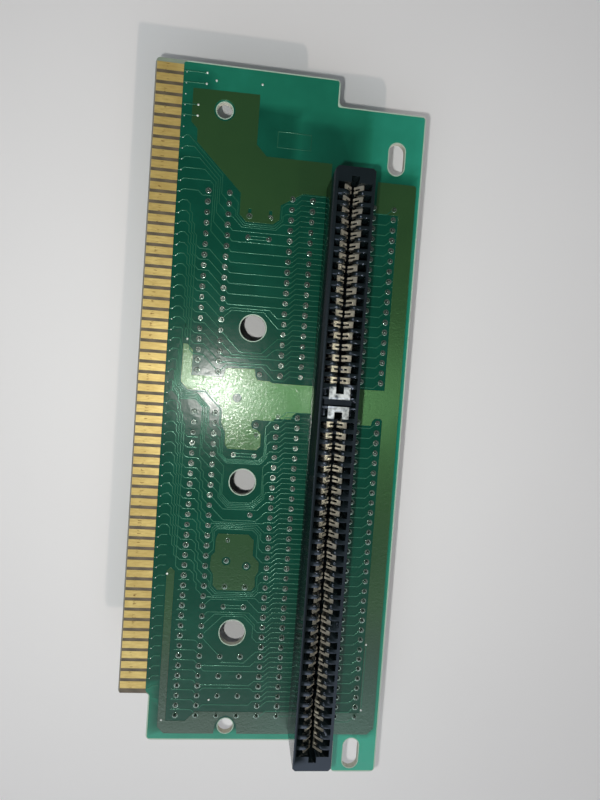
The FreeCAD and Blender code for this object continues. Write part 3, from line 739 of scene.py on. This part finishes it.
def makeSpringMaster():
    s = spring
    middle = (s["footOuter"] + s["footInner"]) / 2
    strip = s["width"] / s["strips"] * mm
    forkFoot, forkHead = s["bends"][0][1] * mm, s["bends"][3][1] * mm
    bpy.ops.mesh.primitive_grid_add(x_subdivisions=1, y_subdivisions=s["strips"], size=1,
                                    location=(middle * mm, 0, s["footHeight"] * mm))
    master = bpy.context.object
    master.scale = ((s["footOuter"] - s["footInner"]) * mm, s["width"] * mm, 1)
    settle(master)
    mesh = master.data
    bpy.ops.object.mode_set(mode="EDIT")
    bpy.ops.mesh.select_all(action="DESELECT")
    bpy.ops.object.mode_set(mode="OBJECT")
    for edge in mesh.edges:
        edge.select = all(mesh.vertices[i].co.x < middle * mm for i in edge.vertices)
    bpy.ops.object.mode_set(mode="EDIT")
    bpy.ops.mesh.select_mode(type="EDGE")
    x, z = s["footInner"], s["footHeight"]
    for nextX, nextZ in s["bends"]:
        step = ((nextX - x) * mm, 0, (nextZ - z) * mm)
        bpy.ops.mesh.extrude_region_move(TRANSFORM_OT_translate={"value": step})
        x, z = nextX, nextZ
    bpy.ops.mesh.select_mode(type="FACE")
    bpy.ops.mesh.select_all(action="DESELECT")
    bpy.ops.object.mode_set(mode="OBJECT")
    for face in mesh.polygons:                       # the fork: the middle strip is cut out between two bends
        face.select = abs(face.center.y) < strip / 2 and forkFoot < face.center.z < forkHead
    bpy.ops.object.mode_set(mode="EDIT")
    bpy.ops.mesh.delete(type="FACE")
    bpy.ops.mesh.select_mode(type="VERT")
    bpy.ops.object.mode_set(mode="OBJECT")
    for vertex in mesh.vertices:
        vertex.select = abs(vertex.co.y) < strip
    bpy.ops.object.mode_set(mode="EDIT")
    bpy.ops.transform.resize(value=(1, s["slit"], 1))
    bpy.ops.object.mode_set(mode="OBJECT")
    stock = master.modifiers.new("stock", "SOLIDIFY")
    stock.thickness, stock.offset = s["stock"] * mm, 0
    applyAll(master)
    faceOutward(master)
    bpy.ops.object.shade_smooth_by_angle(angle=math.radians(s["smoothAngle"]))
    return master


springMaster = makeSpringMaster()
for slotName in slotNames:
    low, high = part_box(slotName + "_housing")
    centre = (low.x + high.x) / 2
    up = slotName == "front_slot"
    for side in ("left", "right"):
        node = "%s_contacts_%s" % (slotName, side)
        a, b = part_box(node)
        outward = (a.x + b.x) / 2 > centre
        turned = Matrix.Identity(4) if up else Matrix.Rotation(math.pi, 4, "Y")
        if outward != up:
            turned = Matrix.Rotation(math.pi, 4, "Z") @ turned
        places = []
        for v in contactRows:
            lean = Matrix.Rotation(shuffle.uniform(*spring["leans"]), 4, "Y")
            foot = Matrix.Translation((centre, spot(0, v)[1], boardFront if up else boardBack))
            places.append(foot @ turned @ lean)
        row = joinCopies(springMaster, places)
        addPiece(row, "%s_springs_%s" % (slotName, side), bronze, "contact_metal", node)
bpy.data.objects.remove(springMaster)
print("contact springs set")

# Softened copies of the solids, in mm and degrees: width and segments of the edge bevel, and the slope at
# the inner end of each rib, which leads a card in.
softEdges = {
    "housing": (0.14, 1), "capacitor": (0.45, 3), "edgeAngle": 30, "smoothAngle": 35,
    "merge": 0.001, "flatAngle": 1, "leadIn": 1.0, "ribReach": 1.0, "ribWidth": 1.3, "near": 0.01,
}


def softCopy(node, kind):
    s = softEdges
    source = nodes[node]
    copy = source.copy()
    copy.data = source.data.copy()
    copy.parent = None
    for key in list(copy.keys()):
        del copy[key]
    bpy.context.collection.objects.link(copy)
    pick(copy)
    bpy.ops.object.mode_set(mode="EDIT")
    bpy.ops.mesh.select_all(action="SELECT")
    bpy.ops.mesh.remove_doubles(threshold=s["merge"] * mm)
    bpy.ops.mesh.dissolve_limited(angle_limit=math.radians(s["flatAngle"]))
    bpy.ops.mesh.normals_make_consistent(inside=False)
    if kind == "housing":
        bpy.ops.mesh.select_mode(type="EDGE")
        bpy.ops.mesh.select_all(action="DESELECT")
        bpy.ops.object.mode_set(mode="OBJECT")
        low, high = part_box(node)
        mouth = high.z if low.z > boardBack else low.z
        for edge in copy.data.edges:
            a, b = [copy.data.vertices[i].co for i in edge.vertices]
            along = abs(a.z - mouth) + abs(b.z - mouth) + abs(a.x - b.x) < s["near"] * mm
            inner = abs(a.x - (low.x + high.x) / 2) < s["ribReach"] * mm
            edge.select = along and inner and abs(a.y - b.y) < s["ribWidth"] * mm
        bpy.ops.object.mode_set(mode="EDIT")
        bpy.ops.mesh.bevel(offset=s["leadIn"] * mm, segments=1, affect="EDGES")
    bpy.ops.object.mode_set(mode="OBJECT")
    width, segments = s[kind]
    edge = copy.modifiers.new("edge", "BEVEL")
    edge.width, edge.segments = width * mm, segments
    edge.limit_method, edge.angle_limit = "ANGLE", math.radians(s["edgeAngle"])
    edge.harden_normals = True
    applyAll(copy)
    bpy.ops.object.shade_smooth_by_angle(angle=math.radians(s["smoothAngle"]))
    return copy


for slotName in slotNames:
    housing = slotName + "_housing"
    addPiece(softCopy(housing, "housing"), slotName + "_moulding", plastic, "slot_plastic", housing)
for i in range(1, 9):
    node = "capacitor_%d" % i
    addPiece(softCopy(node, "capacitor"), node + "_body", ceramic, "ceramic", node)
print("slot mouldings and capacitors set")

bpy.ops.mesh.primitive_plane_add(size=3.0, location=(0, 0, 0))
table = bpy.context.object
table.name = "tabletop"
table.data.materials.append(tabletop)
table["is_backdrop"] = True

photoCamera = {"place": (-8.451, 14.603, 158.896), "turn": (-2.9043, -5.8884, 4.1579), "lens": 26.01,
               "sensor": 36, "clip": (0.005, 20)}    # place in mm, turn in degrees
camera = bpy.data.objects.new("camera", bpy.data.cameras.new("camera"))
bpy.context.collection.objects.link(camera)
camera.location = Vector(photoCamera["place"]) * mm
camera.rotation_euler = Euler([math.radians(a) for a in photoCamera["turn"]])
camera.data.lens, camera.data.sensor_width = photoCamera["lens"], photoCamera["sensor"]
camera.data.clip_start, camera.data.clip_end = photoCamera["clip"]
bpy.context.scene.camera = camera

# Lamps: a small hard one beside the lens, whose glints are held down; a wide soft sheen from beyond the
# card's foot; and one far away, whose shadow lies sharp beyond the card's head. Lengths are in metres.
lamps = {
    "lensLamp": {"kind": "POINT", "energy": 0.43, "colour": "#fffdf8", "shape": {"shadow_soft_size": 0.002},
                 "place": (-0.0194, 0.0044, 0.159), "aim": (0, 0, -1), "diffuse": True, "glossy": False},
    "lensGlint": {"kind": "POINT", "energy": 0.37, "colour": "#fffdf8", "shape": {"shadow_soft_size": 0.002},
                  "place": (-0.0194, 0.0044, 0.159), "aim": (0, 0, -1), "diffuse": False, "glossy": True},
    "roomLamp": {"kind": "AREA", "energy": 1.15, "colour": "#ebf2ff",
                 "shape": {"shape": "ELLIPSE", "size": 1.0, "size_y": 0.34},
                 "place": (-0.05, -0.44, 0.31), "aim": (0.05, 0.44, -0.31), "diffuse": False, "glossy": True},
    "ceilingLamp": {"kind": "SUN", "energy": 0.52, "colour": "#ffe8dc", "shape": {"angle": math.radians(1.6)},
                    "place": (0, 0, 0), "aim": (-0.49, 1.02, -1.0), "diffuse": True, "glossy": False},
}
for name, s in lamps.items():
    lamp = bpy.data.lights.new(name, s["kind"])
    lamp.energy, lamp.color = s["energy"], toLinear(s["colour"])[:3]
    for key, value in s["shape"].items():
        setattr(lamp, key, value)
    holder = bpy.data.objects.new(name, lamp)
    holder.location = s["place"]
    holder.rotation_euler = Vector(s["aim"]).to_track_quat("-Z", "Y").to_euler()
    holder.visible_diffuse, holder.visible_glossy = s["diffuse"], s["glossy"]
    bpy.context.collection.objects.link(holder)

# A pale room, bright beyond the card's foot and dim overhead and behind its head. Each side is the heading
# along one axis at which the brightness starts and is full.
room = {"colour": "#eef1f5", "dim": 0.13, "bright": 1.2,
        "sides": [("Z", 0.99, 0.84), ("Y", 0.0, -0.5), ("X", 0.75, 0.35), ("Z", 0.05, 0.3)]}
world = bpy.data.worlds.new("softRoom")
bpy.context.scene.world = world
world.use_nodes = True
tree = world.node_tree
heading = addNode(tree, "SeparateXYZ", {0: addNode(tree, "TexCoord", {}).outputs["Generated"]}).outputs
bright = 1.0
for axis, start, full in room["sides"]:
    value = heading[axis]
    if axis == "X":                                  # the same to the left and to the right
        value = addNode(tree, "Math", {0: value}, operation="ABSOLUTE")
    side = addNode(tree, "MapRange", {"Value": value, "From Min": start, "From Max": full}, **smooth)
    bright = addNode(tree, "Math", {0: bright, 1: side}, operation="MULTIPLY")
level = addNode(tree, "Math", {0: bright, 1: room["bright"], 2: room["dim"]}, operation="MULTIPLY_ADD")
plug(tree, tree.nodes["Background"], {"Color": room["colour"], "Strength": level})
bpy.context.scene.view_settings.view_transform = "Standard"
print("camera, lamps and table set")

low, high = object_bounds()
